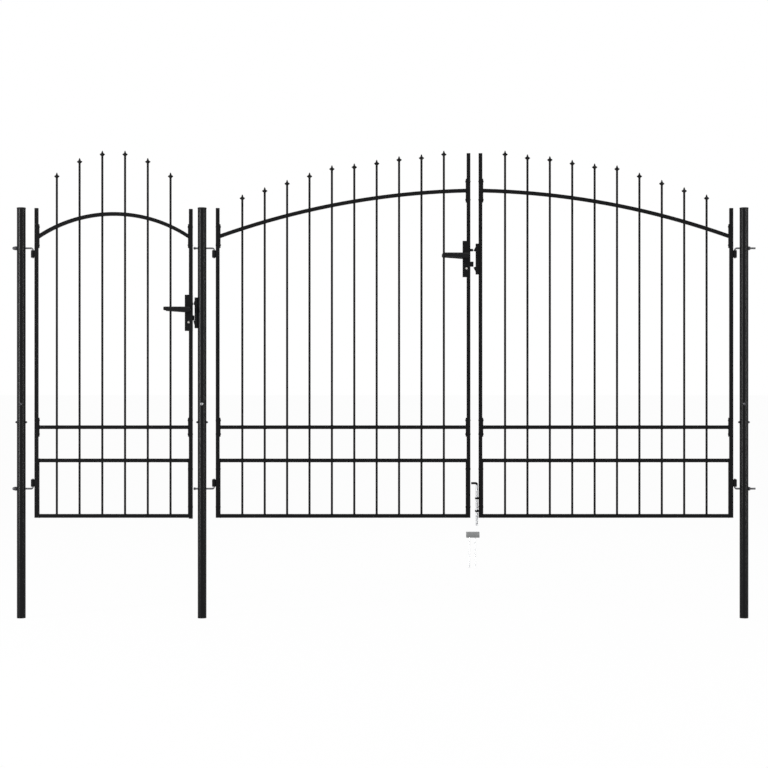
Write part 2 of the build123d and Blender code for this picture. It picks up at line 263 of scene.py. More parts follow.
def noise_node(tree, place, scale, detail=3.0):
    """A noise pattern at a place."""
    node = new_node(tree, "ShaderNodeTexNoise", Detail=detail)
    tree.links.new(place, node.inputs["Vector"])
    if isinstance(scale, (int, float)):
        node.inputs["Scale"].default_value = scale
    else:
        tree.links.new(scale, node.inputs["Scale"])
    return node.outputs["Fac"]


# %% Orange peel of a baked coat
cloud_scale = 9.0
peel, given, result = new_group(
    "orange_peel", {"Scale": 420.0, "Roughness": 0.4, "Spread": 0.1}, ("Height", "Roughness", "Tone")
)
place = peel.nodes.new("ShaderNodeTexCoord").outputs["Object"]
clouds = noise_node(peel, place, cloud_scale, detail=5.0)
swing = math_node(peel, "MULTIPLY", math_node(peel, "SUBTRACT", clouds, 0.5), given["Spread"])
peel.links.new(noise_node(peel, place, given["Scale"]), result["Height"])
peel.links.new(math_node(peel, "ADD", given["Roughness"], swing), result["Roughness"])
peel.links.new(clouds, result["Tone"])
print("group", peel.name)

# %% Dust on what faces up
patch_scale = 35.0
dust, given, result = new_group("resting_dust", {"Amount": 0.3}, ("Mask",))
place = dust.nodes.new("ShaderNodeTexCoord").outputs["Object"]
facing = dust.nodes.new("ShaderNodeSeparateXYZ")
dust.links.new(dust.nodes.new("ShaderNodeNewGeometry").outputs["Normal"], facing.inputs[0])
upward = math_node(dust, "MAXIMUM", facing.outputs["Z"], 0.0)
cover = math_node(dust, "MULTIPLY", upward, noise_node(dust, place, patch_scale, detail=6.0))
dust.links.new(math_node(dust, "MULTIPLY", cover, given["Amount"]), result["Mask"])
print("group", dust.name)

# %% Crystals and stains of plated metal
stain_scale = 60.0
speck_scale = 900.0
crystal_swing = 0.12
spangle, given, result = new_group(
    "plated_grain", {"Scale": 120.0, "Roughness": 0.3}, ("Height", "Roughness", "Tone")
)
place = spangle.nodes.new("ShaderNodeTexCoord").outputs["Object"]
cells = spangle.nodes.new("ShaderNodeTexVoronoi")
spangle.links.new(place, cells.inputs["Vector"])
spangle.links.new(given["Scale"], cells.inputs["Scale"])
crystal = spangle.nodes.new("ShaderNodeSeparateColor")
spangle.links.new(cells.outputs["Color"], crystal.inputs[0])
centred = math_node(spangle, "SUBTRACT", crystal.outputs[0], 0.5)
wander = math_node(spangle, "MULTIPLY", centred, crystal_swing)
spangle.links.new(math_node(spangle, "ADD", given["Roughness"], wander), result["Roughness"])
spangle.links.new(noise_node(spangle, place, speck_scale), result["Height"])
spangle.links.new(noise_node(spangle, place, stain_scale, detail=5.0), result["Tone"])
print("group", spangle.name)


# %% Materials
dust_colour = (0.32, 0.30, 0.27, 1)
relief_strength = 0.5


def colour_mix(tree, share):
    """A colour Mix node driven by a socket."""
    mix = tree.nodes.new("ShaderNodeMix")
    mix.data_type = "RGBA"
    tree.links.new(share, mix.inputs["Factor"])
    return mix


def finish(name, dark, light, group, values, relief, specular, metallic=0.0, dust_amount=0.0):
    """A Principled finish whose colour, roughness and height come from one of the groups."""
    material = bpy.data.materials.new(name)
    material.use_nodes = True
    tree = material.node_tree
    shader = tree.nodes["Principled BSDF"]
    shader.inputs["Metallic"].default_value = metallic
    shader.inputs["Specular IOR Level"].default_value = specular
    skin = tree.nodes.new("ShaderNodeGroup")
    skin.node_tree = group
    for socket, value in values.items():
        skin.inputs[socket].default_value = value
    tone = colour_mix(tree, skin.outputs["Tone"])
    tone.inputs["A"].default_value = (*dark, 1)
    tone.inputs["B"].default_value = (*light, 1)
    colour = tone.outputs["Result"]
    if dust_amount:
        film = tree.nodes.new("ShaderNodeGroup")
        film.node_tree = dust
        film.inputs["Amount"].default_value = dust_amount
        dusty = colour_mix(tree, film.outputs["Mask"])
        dusty.inputs["B"].default_value = dust_colour
        tree.links.new(colour, dusty.inputs["A"])
        colour = dusty.outputs["Result"]
    tree.links.new(colour, shader.inputs["Base Color"])
    tree.links.new(skin.outputs["Roughness"], shader.inputs["Roughness"])
    bump = new_node(tree, "ShaderNodeBump", Distance=relief, Strength=relief_strength)
    tree.links.new(skin.outputs["Height"], bump.inputs["Height"])
    tree.links.new(bump.outputs["Normal"], shader.inputs["Normal"])
    return material


def skin_finish(name, dark, light, scale, roughness, spread, relief, specular, dust_amount):
    """A baked coat or a moulded plastic."""
    values = {"Scale": scale, "Roughness": roughness, "Spread": spread}
    return finish(name, dark, light, peel, values, relief, specular, dust_amount=dust_amount)


def metal_finish(name, dark, light, scale, roughness, relief):
    """Bare, plated or blackened metal."""
    values = {"Scale": scale, "Roughness": roughness}
    return finish(name, dark, light, spangle, values, relief, specular=0.5, metallic=1.0)


coat = skin_finish(
    "black_powder_coat", dark=(0.0036, 0.0036, 0.0039), light=(0.0052, 0.0052, 0.0055),
    scale=420, roughness=0.48, spread=0.10, relief=0.03 * mm, specular=0.05, dust_amount=0.05,
)
post_coat = skin_finish(
    "glossy_powder_coat", dark=(0.0040, 0.0040, 0.0043), light=(0.0056, 0.0056, 0.0059),
    scale=420, roughness=0.235, spread=0.06, relief=0.008 * mm, specular=0.09, dust_amount=0.05,
)
handle_coat = skin_finish(
    "lever_coat", dark=(0.0050, 0.0050, 0.0055), light=(0.0072, 0.0072, 0.0075),
    scale=650, roughness=0.25, spread=0.08, relief=0.02 * mm, specular=0.08, dust_amount=0.04,
)
plastic = skin_finish(
    "cap_plastic", dark=(0.0050, 0.0050, 0.0055), light=(0.0070, 0.0070, 0.0070),
    scale=1100, roughness=0.5, spread=0.1, relief=0.05 * mm, specular=0.1, dust_amount=0.08,
)
zinc = metal_finish(
    "zinc_plated_steel", dark=(0.26, 0.265, 0.275), light=(0.34, 0.345, 0.35),
    scale=160, roughness=0.34, relief=0.01 * mm,
)
greased_zinc = metal_finish(
    "greased_zinc", dark=(0.085, 0.085, 0.09), light=(0.13, 0.13, 0.135),
    scale=200, roughness=0.36, relief=0.02 * mm,
)
galvanised = metal_finish(
    "galvanised_sheet", dark=(0.185, 0.19, 0.19), light=(0.22, 0.225, 0.225),
    scale=110, roughness=0.45, relief=0.03 * mm,
)
bright_steel = metal_finish(
    "bright_steel", dark=(0.62, 0.63, 0.64), light=(0.74, 0.745, 0.75),
    scale=260, roughness=0.3, relief=0.01 * mm,
)
blackened_steel = metal_finish(
    "blackened_steel", dark=(0.008, 0.008, 0.009), light=(0.016, 0.016, 0.017),
    scale=260, roughness=0.35, relief=0.02 * mm,
)
nickel = metal_finish(
    "nickel", dark=(0.60, 0.58, 0.54), light=(0.72, 0.70, 0.66),
    scale=300, roughness=0.2, relief=0.01 * mm,
)
dark_steel = metal_finish(
    "dark_steel", dark=(0.045, 0.045, 0.05), light=(0.075, 0.075, 0.08),
    scale=260, roughness=0.35, relief=0.02 * mm,
)

# %% Finishes on the nodes
slot_finish = {
    "black_powder_coat": coat, "lever_coat": handle_coat, "cap_plastic": plastic,
    "zinc_plated_steel": zinc, "galvanised_sheet": galvanised, "nickel": nickel,
    "dark_steel": dark_steel,
}
slot_of_node = {}
for name, piece in frame["nodes"].items():
    slot_of_node[name] = piece.data.materials[0].name.split(".")[0]
    piece.data.materials.clear()
    piece.data.materials.append(slot_finish[slot_of_node[name]])
print("slots", sorted(set(slot_of_node.values())))

# %% [markdown]
# ## Soft edges on drawn and folded steel
#
# A square steel tube leaves the mill with rounded corners, and the baked coat rounds them a little more.
# Those corners catch the light and draw each bar. The edges could be faked in the material, but then the
# outline would stay sharp in a close view. So each piece of the frame is copied, its loose triangles are
# merged, its flat faces are made whole, and a Bevel modifier rounds what is left of the edges. A Weighted
# Normal modifier then lets the large faces set the shading, so that they look flat up to the rounding.


# %% Helpers that make and dress pieces
smooth_limit = radians(32)


def plain(mesh):
    """Smooth shading with the real edges kept sharp."""
    mesh.shade_smooth()
    mesh.set_sharp_from_angle(angle=smooth_limit)
    return mesh


def as_mesh(shape, name):
    """What a bmesh holds, as a mesh."""
    mesh = bpy.data.meshes.new(name)
    shape.to_mesh(mesh)
    shape.free()
    return mesh


def as_object(name, mesh, finish_used=None):
    """A mesh in the scene, in a finish if one is named."""
    piece = bpy.data.objects.new(name, mesh)
    bpy.context.scene.collection.objects.link(piece)
    if finish_used:
        mesh.materials.clear()
        mesh.materials.append(finish_used)
    return piece


def evaluated(piece, name):
    """The plain mesh that an object's modifiers give."""
    bpy.context.view_layer.update()
    shown = piece.evaluated_get(bpy.context.evaluated_depsgraph_get())
    mesh = bpy.data.meshes.new_from_object(shown)
    mesh.name = name
    return mesh


def dress(piece, node):
    """A finished piece rides with its node's body, takes its slot and stands for it."""
    slot = slot_of_node[node]
    if not piece.data.materials:
        piece.data.materials.append(slot_finish[slot])
    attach(piece, body_of_node[node])
    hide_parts(node)
    return piece


def add_to(piece, body):
    """A piece that the frame lacks rides with a body."""
    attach(piece, body)


def round_edges(piece, radius, limit):
    """A Bevel modifier on the edges that turn by more than the limit."""
    rounding = piece.modifiers.new("rounding", "BEVEL")
    rounding.width = radius
    rounding.segments = 2
    rounding.limit_method = "ANGLE"
    rounding.angle_limit = radians(limit)


def softened(node, radius):
    """A merged copy of a node with its edges rounded."""
    shape = bmesh.new()
    shape.from_mesh(frame["nodes"][node].data)
    bmesh.ops.remove_doubles(shape, verts=shape.verts, dist=1e-6)
    bmesh.ops.dissolve_limit(
        shape, angle_limit=radians(0.4), verts=shape.verts, edges=shape.edges
    )
    mesh = as_mesh(shape, node + "_plain")
    mesh.shade_smooth()
    rough = as_object(node + "_rough", mesh)
    round_edges(rough, radius, 28)
    rough.modifiers.new("flat_faces_stay_flat", "WEIGHTED_NORMAL")
    piece = as_object(node + "_dressed", evaluated(rough, node + "_dressed"))
    bpy.data.objects.remove(rough)
    return dress(piece, node)


# %% Rounded frames, plates, keeps and cases
tube_corner = 1.9 * mm
sheet_corner = 0.9 * mm
rounded = {}
for leaf in leaves:
    for part in ("hinge_stile", "latch_stile", "meeting_stile", "arch", "upper_rail", "lower_rails"):
        if leaf + "_" + part in frame["nodes"]:
            rounded[leaf + "_" + part] = tube_corner
    rounded[leaf + "_side_bars"] = sheet_corner
lock_parts = {"lock_case": sheet_corner, "keep": 0.7 * mm, "latch": 0.6 * mm, "dead_bolt": 0.8 * mm}
for part, radius in lock_parts.items():
    rounded["small_" + part] = rounded["double_" + part] = radius
rounded["drop_bolt_guides"] = 1.2 * mm
for node, radius in rounded.items():
    piece = softened(node, radius)
    if node.endswith(("_latch", "_dead_bolt")):
        piece.data.materials[0] = blackened_steel
print(len(rounded), "pieces with rounded edges")

# %% [markdown]
# ## Posts and caps
#
# A post is a round tube, cut square and closed by a moulded cap. A lathe describes both best: a short
# profile of radius and height is turned round an upright axis. Many steps keep the long highlight straight.


# %% A lathe
pole_radius = 1e-7


def turns(steps):
    """Even steps of a full turn."""
    return [tau * i / steps for i in range(steps)]


def quarter(steps):
    """Cosine and sine at even steps of a quarter turn."""
    return [(cos(pi / 2 * i / steps), sin(pi / 2 * i / steps)) for i in range(steps + 1)]


def bridge(shape, rings, closed=False):
    """Faces between neighbouring rings; a ring of one vertex is a pole."""
    for lower, upper in zip(rings, rings[1:] + rings[:1] if closed else rings[1:]):
        steps = max(len(lower), len(upper))
        for i in range(steps):
            j = (i + 1) % steps
            corners = [lower[i % len(lower)], lower[j % len(lower)],
                       upper[j % len(upper)], upper[i % len(upper)]]
            corners = list(dict.fromkeys(corners))
            if len(corners) > 2:
                shape.faces.new(corners)


def lathe(name, profile, steps=64, place=(0, 0, 0), facing=(0, 0, 1)):
    """A closed profile of (radius, height) turned round an axis through place along facing."""
    shape = bmesh.new()
    rings = []
    for radius, height in profile:
        angles = turns(steps) if radius > pole_radius else [0.0]
        rings.append([shape.verts.new((radius * cos(a), radius * sin(a), height)) for a in angles])
    bridge(shape, rings, closed=True)
    bmesh.ops.recalc_face_normals(shape, faces=shape.faces)
    turned = Vector(facing).to_track_quat("Z", "Y").to_matrix().to_4x4()
    bmesh.ops.transform(shape, matrix=Matrix.Translation(place) @ turned, verts=shape.verts)
    return plain(as_mesh(shape, name))


def joined(name, meshes):
    """One mesh from several."""
    shape = bmesh.new()
    for mesh in meshes:
        shape.from_mesh(mesh)
    return plain(as_mesh(shape, name))


# %% Posts
post_wall = 2 * mm
cut_edge = 0.4 * mm
post_middles = [(low.x + high.x) / 2 for low, high in posts]
post_half = (posts[0][1].x - posts[0][0].x) / 2
for name, post_x, (low, high) in zip(("left_post", "middle_post", "right_post"), post_middles, posts):
    inner, top = post_half - post_wall, high.z
    profile = [
        (inner, 0), (inner, top), (post_half, top), (post_half, cut_edge), (post_half - cut_edge, 0),
    ]
    dress(as_object(name + "_tube", lathe(name, profile, place=(post_x, 0, 0)), post_coat), name)
print("posts", len(posts))

# %% Caps
cap_rim = 2.6 * mm
cap_foot_edge = 0.3 * mm
cap_foot_height = 0.4 * mm
crown_share = 0.55
caps = []
for low, high in solid_boxes("post_caps"):
    radius, height = (high.x - low.x) / 2, high.z - low.z
    profile = [(0, 0), (radius - cap_foot_edge, 0), (radius, cap_foot_height)]
    profile += [(radius - cap_rim * (1 - c), height - cap_rim * (1 - s)) for c, s in quarter(6)]
    profile += [(radius * crown_share, height), (0, height)]
    caps.append(lathe("cap", profile, place=((low.x + high.x) / 2, 0, low.z)))
dress(as_object("post_caps_pressed", joined("post_caps", caps)), "post_caps")
print("caps", len(caps))

# %% [markdown]
# ## Tools for Geometry Nodes
#
# Pickets, beads, screws and threads all repeat. A node tree states the rule once, with named inputs for
# its sizes. The tree ends by making its instances real and setting the material, and then the modifier's
# result is taken as a plain mesh, one for each body.


# %% Building and running a tree
def new_tree(name, **sizes):
    """A geometry tree with a material input, named sizes and named objects, and its two ends."""
    tree = bpy.data.node_groups.new(name, "GeometryNodeTree")
    sockets = tree.interface
    sockets.new_socket("Geometry", in_out="INPUT", socket_type="NodeSocketGeometry")
    for socket, default in sizes.items():
        kind = "NodeSocketObject" if default is None else "NodeSocketFloat"
        made = sockets.new_socket(socket, in_out="INPUT", socket_type=kind)
        if default is not None:
            made.default_value = default
    sockets.new_socket("Material", in_out="INPUT", socket_type="NodeSocketMaterial")
    sockets.new_socket("Geometry", in_out="OUTPUT", socket_type="NodeSocketGeometry")
    return tree, tree.nodes.new("NodeGroupInput").outputs, tree.nodes.new("NodeGroupOutput")


def step(tree, kind, settings=None, **links):
    """A node with its sockets linked or set; underscores stand for spaces in socket names."""
    node = tree.nodes.new(kind)
    for key, value in (settings or {}).items():
        setattr(node, key, value)
    for key, value in links.items():
        socket = node.inputs[key.replace("_", " ")]
        if isinstance(value, bpy.types.NodeSocket):
            tree.links.new(value, socket)
        else:
            socket.default_value = value
    return node.outputs[0]


def close_tree(tree, end, geometry, material):
    """Realize Instances and Set Material, at the end of every tree."""
    real = step(tree, "GeometryNodeRealizeInstances", Geometry=geometry)
    painted = step(tree, "GeometryNodeSetMaterial", Geometry=real, Material=material)
    tree.links.new(painted, end.inputs["Geometry"])


def swept(tree, line, radius, sides):
    """A body with this many sides along a line, with closed ends."""
    section = step(tree, "GeometryNodeCurvePrimitiveCircle", Resolution=sides, Radius=radius)
    return step(
        tree, "GeometryNodeCurveToMesh", Curve=line, Profile_Curve=section, Fill_Caps=True
    )


def attribute(tree, name, kind):
    """What the points carry under a name."""
    node = tree.nodes.new("GeometryNodeInputNamedAttribute")
    node.data_type = kind
    node.inputs["Name"].default_value = name
    return node.outputs["Attribute"]


def shape_of(tree, named_object):
    """The geometry of the object that a socket names."""
    node = tree.nodes.new("GeometryNodeObjectInfo")
    tree.links.new(named_object, node.inputs["Object"])
    return node.outputs["Geometry"]


def aimed_on_points(tree, points, shape):
    """A copy of a shape on every point, its Z axis turned to the point's facing."""
    facing = attribute(tree, "facing", "FLOAT_VECTOR")
    aim = step(tree, "FunctionNodeAlignRotationToVector", {"axis": "Z"}, Vector=facing)
    spots = step(tree, "GeometryNodeMeshToPoints", Mesh=points)
    return step(tree, "GeometryNodeInstanceOnPoints", Points=spots, Instance=shape, Rotation=aim)


def grow(name, seed_object, tree, values):
    """Run a tree on an object and keep its result as a plain mesh."""
    modifier = seed_object.modifiers.new("rule", "NODES")
    modifier.node_group = tree
    for item in tree.interface.items_tree:
        if item.in_out == "INPUT" and item.name in values:
            modifier[item.identifier] = values[item.name]
    mesh = evaluated(seed_object, name)
    bpy.data.objects.remove(seed_object)
    return as_object(name, plain(mesh))


def merged(name, node, parts, finish_used, *more):
    """Grown parts and further meshes made one piece that stands for a node."""
    whole = as_object(name, joined(node, [part.data for part in parts] + list(more)), finish_used)
    for part in parts:
        bpy.data.objects.remove(part)
    return dress(whole, node)


# %% Points and lines that a tree starts from
def points_object(name, places, **attributes):
    """Loose points with attributes: a number or a vector for each."""
    mesh = bpy.data.meshes.new(name)
    mesh.from_pydata([tuple(p) for p in places], [], [])
    for key, values in attributes.items():
        is_vector = hasattr(values[0], "__len__")
        layer = mesh.attributes.new(key, "FLOAT_VECTOR" if is_vector else "FLOAT", "POINT")
        for i, value in enumerate(values):
            if is_vector:
                layer.data[i].vector = value
            else:
                layer.data[i].value = value
    return as_object(name, mesh)


def line_object(name, lines, closed=False):
    """A mesh of edges only: lines or closed loops of points."""
    points, edges = [], []
    for line in lines:
        first, count = len(points), len(line)
        points += [tuple(p) for p in line]
        edges += [(first + i, first + i + 1) for i in range(count - 1)]
        if closed:
            edges.append((first + count - 1, first))
    mesh = bpy.data.meshes.new(name)
    mesh.from_pydata(points, edges, [])
    return as_object(name, mesh)


# %% [markdown]
# ## The spear point
#
# Each picket ends in a small forged dart: the round bar flares into two barbs and then pinches in and
# runs out to a tip. It has a ridge on each of its four sides. Rings with a changing width, depth and
# squareness make it: round where it leaves the bar, a rhomb with soft corners at the barbs.

# %% Spear point
bar_radius = 6 * mm
spear_steps = 24
# height over the barbs, half width, half depth and how far the ring is from round to rhomb
spear_rings = (
    (-10.0, 6.0, 6.0, 0.0), (-7.8, 7.0, 6.1, 0.3), (-5.2, 10.0, 6.0, 0.8), (-2.8, 13.4, 5.4, 1.0),
    (-0.9, 14.4, 4.8, 1.0), (1.3, 14.4, 4.6, 1.0), (3.2, 12.8, 4.5, 1.0), (5.2, 8.6, 4.4, 0.9),
    (7.6, 6.0, 4.3, 0.8), (10.8, 5.0, 4.0, 0.7), (14.5, 4.0, 3.3, 0.6), (18.0, 2.6, 2.1, 0.5),
    (20.2, 1.3, 1.1, 0.3), (21.0, 0.0, 0.0, 0.0),
)
spear_foot = spear_rings[0][0]
spear_length = (spear_rings[-1][0] - spear_foot) * mm
spear_shape = bmesh.new()
rings = []
for height, half_width, half_depth, rhomb in spear_rings:
    corners = []
    for angle in turns(spear_steps) if half_width else [0.0]:
        c, s = cos(angle), sin(angle)
        pull = 1 - rhomb + rhomb / (abs(c) + abs(s))
        spot = Vector((half_width * pull * c, half_depth * pull * s, height - spear_foot))
        corners.append(spear_shape.verts.new(spot * mm))
    rings.append(corners)
bridge(spear_shape, rings)
spear = as_object("spear_pattern", as_mesh(spear_shape, "spear"))
print("spear", round(spear_length / mm, 1), "mm,", len(spear.data.polygons), "faces")

# %% [markdown]
# ## Pickets
#
# The bars of one leaf differ only in place and height. A point at each foot carries the bar's height,
# and a tree puts a unit bar, stretched to that height, and a spear on every point. That is less work and
# less data than modelling 26 bars, and a change of the spear reaches them all.

# %% Picket tree
tree, given, end = new_tree("pickets", Radius=bar_radius, Spear=None)
rise = attribute(tree, "rise", "FLOAT")
feet = step(tree, "GeometryNodeMeshToPoints", Mesh=given["Geometry"])
unit_bar = step(
    tree, "GeometryNodeMeshCylinder", {"fill_type": "NGON"},
    Vertices=28, Radius=given["Radius"], Depth=1.0,
)
stood = step(tree, "GeometryNodeTransform", Geometry=unit_bar, Translation=(0, 0, 0.5))
stretch = step(tree, "ShaderNodeCombineXYZ", X=1.0, Y=1.0, Z=rise)
bars = step(tree, "GeometryNodeInstanceOnPoints", Points=feet, Instance=stood, Scale=stretch)
lift = step(tree, "ShaderNodeCombineXYZ", Z=rise)
tops = step(tree, "GeometryNodeSetPosition", Geometry=feet, Offset=lift)
dart = shape_of(tree, given["Spear"])
spears = step(tree, "GeometryNodeInstanceOnPoints", Points=tops, Instance=dart)
both = tree.nodes.new("GeometryNodeJoinGeometry")
tree.links.new(bars, both.inputs["Geometry"])
tree.links.new(spears, both.inputs["Geometry"])
close_tree(tree, end, both.outputs["Geometry"], given["Material"])
picket_tree = tree
print("picket tree", len(tree.nodes), "nodes")

# %% Pickets of the three leaves
for leaf, boxes in pickets.items():
    feet_places = [((low.x + high.x) / 2, 0, low.z) for low, high in boxes]
    rises = [high.z - low.z - spear_length for low, high in boxes]
    seed = points_object(leaf + "_picket_feet", feet_places, rise=rises)
    sizes = {"Radius": bar_radius, "Spear": spear, "Material": coat}
    grown = grow(leaf + "_pickets_forged", seed, picket_tree, sizes)
    dress(grown, leaf + "_pickets")
    print(leaf, "pickets", len(boxes), "faces", len(grown.data.polygons))

# %% [markdown]
# ## Weld beads
#
# Every picket is welded where it passes a rail, and every rail where it meets its end plate. Under the
# coat the beads stay visible as soft, slightly rippled rings. All seams of one leaf are drawn as one set
# of lines, and a tree gives the lines a round body whose thickness wanders with a noise.

# %% Bead tree
ripple_scale = 320.0
tree, given, end = new_tree("weld_beads", Radius=1.5 * mm, Step=1.6 * mm, Ripple=0.7 * mm, Seed=3.0)
seams = step(tree, "GeometryNodeMeshToCurve", Mesh=given["Geometry"])
even = step(
    tree, "GeometryNodeResampleCurve", {"mode": "LENGTH"}, Curve=seams, Length=given["Step"]
)
body = swept(tree, even, given["Radius"], 7)
noise = tree.nodes.new("ShaderNodeTexNoise")
noise.noise_dimensions = "4D"
noise.inputs["Scale"].default_value = ripple_scale
tree.links.new(given["Seed"], noise.inputs["W"])
centred = math_node(tree, "SUBTRACT", noise.outputs["Fac"], 0.5)
amount = math_node(tree, "MULTIPLY", centred, given["Ripple"])
outward = tree.nodes.new("GeometryNodeInputNormal")
push = tree.nodes.new("ShaderNodeVectorMath")
push.operation = "SCALE"
tree.links.new(outward.outputs["Normal"], push.inputs[0])
tree.links.new(amount, push.inputs["Scale"])
uneven = step(tree, "GeometryNodeSetPosition", Geometry=body, Offset=push.outputs["Vector"])
close_tree(tree, end, uneven, given["Material"])
bead_tree = tree
bead_ripple = 0.9 * mm


def weld(name, body, loops, radius, stride, seed):
    """Beads along closed loops, on a body."""
    lines = line_object(name + "_seams", loops, closed=True)
    beads = grow(name, lines, bead_tree, {
        "Radius": radius, "Step": stride, "Ripple": bead_ripple, "Seed": seed, "Material": coat,
    })
    add_to(beads, body)
    print(name, "seams", len(loops), "faces", len(beads.data.polygons))


# %% Where the seams run
tube_half = 10 * mm
plate = 5 * mm
arch_plate_half = 65 * mm
bead_offset = 0.3 * mm
arch_radius = {"small": 744 * mm, "left": 4335 * mm, "right": 4335 * mm}


def ring(x, z, slope=0.0):
    """A ring round a picket, tilted to a sloping rail."""
    radius = bar_radius + bead_offset
    return [(x + radius * cos(a), radius * sin(a), z + slope * radius * cos(a)) for a in turns(14)]


def frame_seam(x, z):
    """A seam round the end of a square bar at x, whose middle is at height z."""
    corners = ((-1, -1), (1, -1), (1, 1), (-1, 1))
    return [(x, tube_half * across, z + tube_half * up) for across, up in corners]


def arch_line(leaf):
    """The height and slope of a leaf's arch over x, and its two ends, from its box and its radius."""
    low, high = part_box(leaf + "_arch")
    x_low, x_high, radius = low.x + plate, high.x - plate, arch_radius[leaf]
    if leaf == "small":
        centre = Vector(((x_low + x_high) / 2, high.z - tube_half - radius))
    else:
        levels = [low.z + arch_plate_half, high.z - arch_plate_half]
        if leaf == "right":
            levels.reverse()
        first, last = Vector((x_low, levels[0])), Vector((x_high, levels[1]))
        half_chord = (last - first) / 2
        across = Vector((half_chord.y, -half_chord.x)).normalized()
        centre = (first + last) / 2 + across * sqrt(radius**2 - half_chord.length_squared)

    def height(x):
        return centre.y + sqrt(radius**2 - (x - centre.x) ** 2)

    def slope(x):
        return -(x - centre.x) / sqrt(radius**2 - (x - centre.x) ** 2)

    return height, slope, x_low, x_high


# %% Beads of the three leaves
for leaf, boxes in pickets.items():
    height, slope, arch_low, arch_high = arch_line(leaf)
    upper_z = sum(corner.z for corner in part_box(leaf + "_upper_rail")) / 2
    rails = sorted(solid_boxes(leaf + "_lower_rails"), key=lambda pair: pair[0].z)
    bottom_z, lower_z = [(low.z + high.z) / 2 for low, high in rails]
    loops = []
    for low, high in boxes:
        x = (low.x + high.x) / 2
        loops.append(ring(x, bottom_z + tube_half))
        for rail_z in (lower_z, upper_z):
            loops += [ring(x, rail_z - tube_half), ring(x, rail_z + tube_half)]
        for side in (-1, 1):
            loops.append(ring(x, height(x) + side * tube_half, slope(x)))
    for x in (arch_low, arch_high):
        loops += [frame_seam(x, z) for z in (height(x), upper_z, lower_z, bottom_z)]
    weld(leaf + "_weld_beads", leaves[leaf], loops, radius=1.5 * mm, stride=1.8 * mm, seed=3.0)

# %% [markdown]
# ## Hinge bolts
#
# Each leaf hangs on bent bolts that pass through the post. A bolt is a round bar with a thread on its
# straight arm. The axis of the bar is a line of three points. A tree rounds its corner and gives it a
# body. The thread is a spiral with a small three-sided section, laid onto the bar by a second tree.

# %% Bent rod tree
rod_sides = 28
bolt_radius = 5 * mm
bolt_bend = 10 * mm
tree, given, end = new_tree("bent_rods", Radius=bolt_radius, Bend=bolt_bend)
axis = step(tree, "GeometryNodeMeshToCurve", Mesh=given["Geometry"])
bent = step(
    tree, "GeometryNodeFilletCurve", {"mode": "POLY"}, Curve=axis, Radius=given["Bend"], Count=10
)
close_tree(tree, end, swept(tree, bent, given["Radius"], rod_sides), given["Material"])
rod_tree = tree
print("rod tree", len(tree.nodes), "nodes")

# %% Thread tree
thread_length = 72 * mm
thread_pitch = 1.5 * mm
thread_crest = 0.5 * mm
tree, given, end = new_tree(
    "threads", Length=thread_length, Pitch=thread_pitch, Radius=bolt_radius, Crest=thread_crest
)
helix = step(
    tree, "GeometryNodeCurveSpiral", Resolution=20, Start_Radius=given["Radius"],
    End_Radius=given["Radius"], Height=given["Length"],
    Rotations=math_node(tree, "DIVIDE", given["Length"], given["Pitch"]),
)
wound = aimed_on_points(tree, given["Geometry"], swept(tree, helix, given["Crest"], 3))
close_tree(tree, end, wound, given["Material"])
thread_tree = tree
print("thread tree", len(tree.nodes), "nodes")

# %% Hinge bolts
inside_crown = 8 * mm
between_hinges = 1.3
leaf_side = dict(zip(post_middles, (1, 1, -1)))
axes, arms = [], []
for low, high in solid_boxes("hinge_bolts"):
    post_x = min(post_middles, key=lambda x: abs(x - (low.x + high.x) / 2))
    side = leaf_side[post_x]
    arm_z, end_z = high.z - bolt_radius, low.z
    if low.z < between_hinges:
        arm_z, end_z = low.z + bolt_radius, high.z
    start_x, pin_x = (low.x, high.x - bolt_radius) if side > 0 else (high.x, low.x + bolt_radius)
    if post_x == post_middles[0]:
        start_x += side * inside_crown
    axes.append([(start_x, 0, arm_z), (pin_x, 0, arm_z), (pin_x, 0, end_z)])
    arms.append((post_x, side, arm_z))
rods = grow("bolt_rods", line_object("bolt_axes", axes), rod_tree, {
    "Radius": bolt_radius, "Bend": bolt_bend, "Material": greased_zinc,
})
starts = points_object(
    "thread_starts", [axis[0] for axis in axes], facing=[(side, 0, 0) for _, side, _ in arms]
)
threads = grow("bolt_threads", starts, thread_tree, {
    "Length": thread_length, "Pitch": thread_pitch, "Radius": bolt_radius, "Crest": thread_crest,
    "Material": greased_zinc,
})
whole = merged("hinge_bolts_threaded", "hinge_bolts", [rods, threads], greased_zinc)
print("hinge bolts", len(axes), "faces", len(whole.data.polygons))

# %% [markdown]
# ## Nuts, screws and washers
#
# Small fasteners are turned or pressed in their thousands, so each kind is one pattern: a hexagon nut
# with bevelled corners, a nut with a dome, a domed head with a recess in its top, and a washer. A tree
# places a pattern on points and turns it so that its axis follows the direction that each point carries.


# %% Patterns
def hexagon_nut(name, width, height, bore):
    """A nut with chamfered corners and an open bore."""
    shape = bmesh.new()
    rings = []
    chamfer_share, chamfer_reach = 0.12, width / 2 * 1.04
    for share in (0, chamfer_share, 1 - chamfer_share, 1):
        corners = []
        for angle in turns(36):
            reach = width / 2 / cos((angle % (tau / 6)) - tau / 12)
            if share in (0, 1):
                reach = min(reach, chamfer_reach)
            corners.append(shape.verts.new((reach * cos(angle), reach * sin(angle), share * height)))
        rings.append(corners)
    for z in (height, 0):
        rings.append([shape.verts.new((bore * cos(a), bore * sin(a), z)) for a in turns(36)])
    bridge(shape, rings, closed=True)
    bmesh.ops.recalc_face_normals(shape, faces=shape.faces)
    return as_object(name, as_mesh(shape, name))


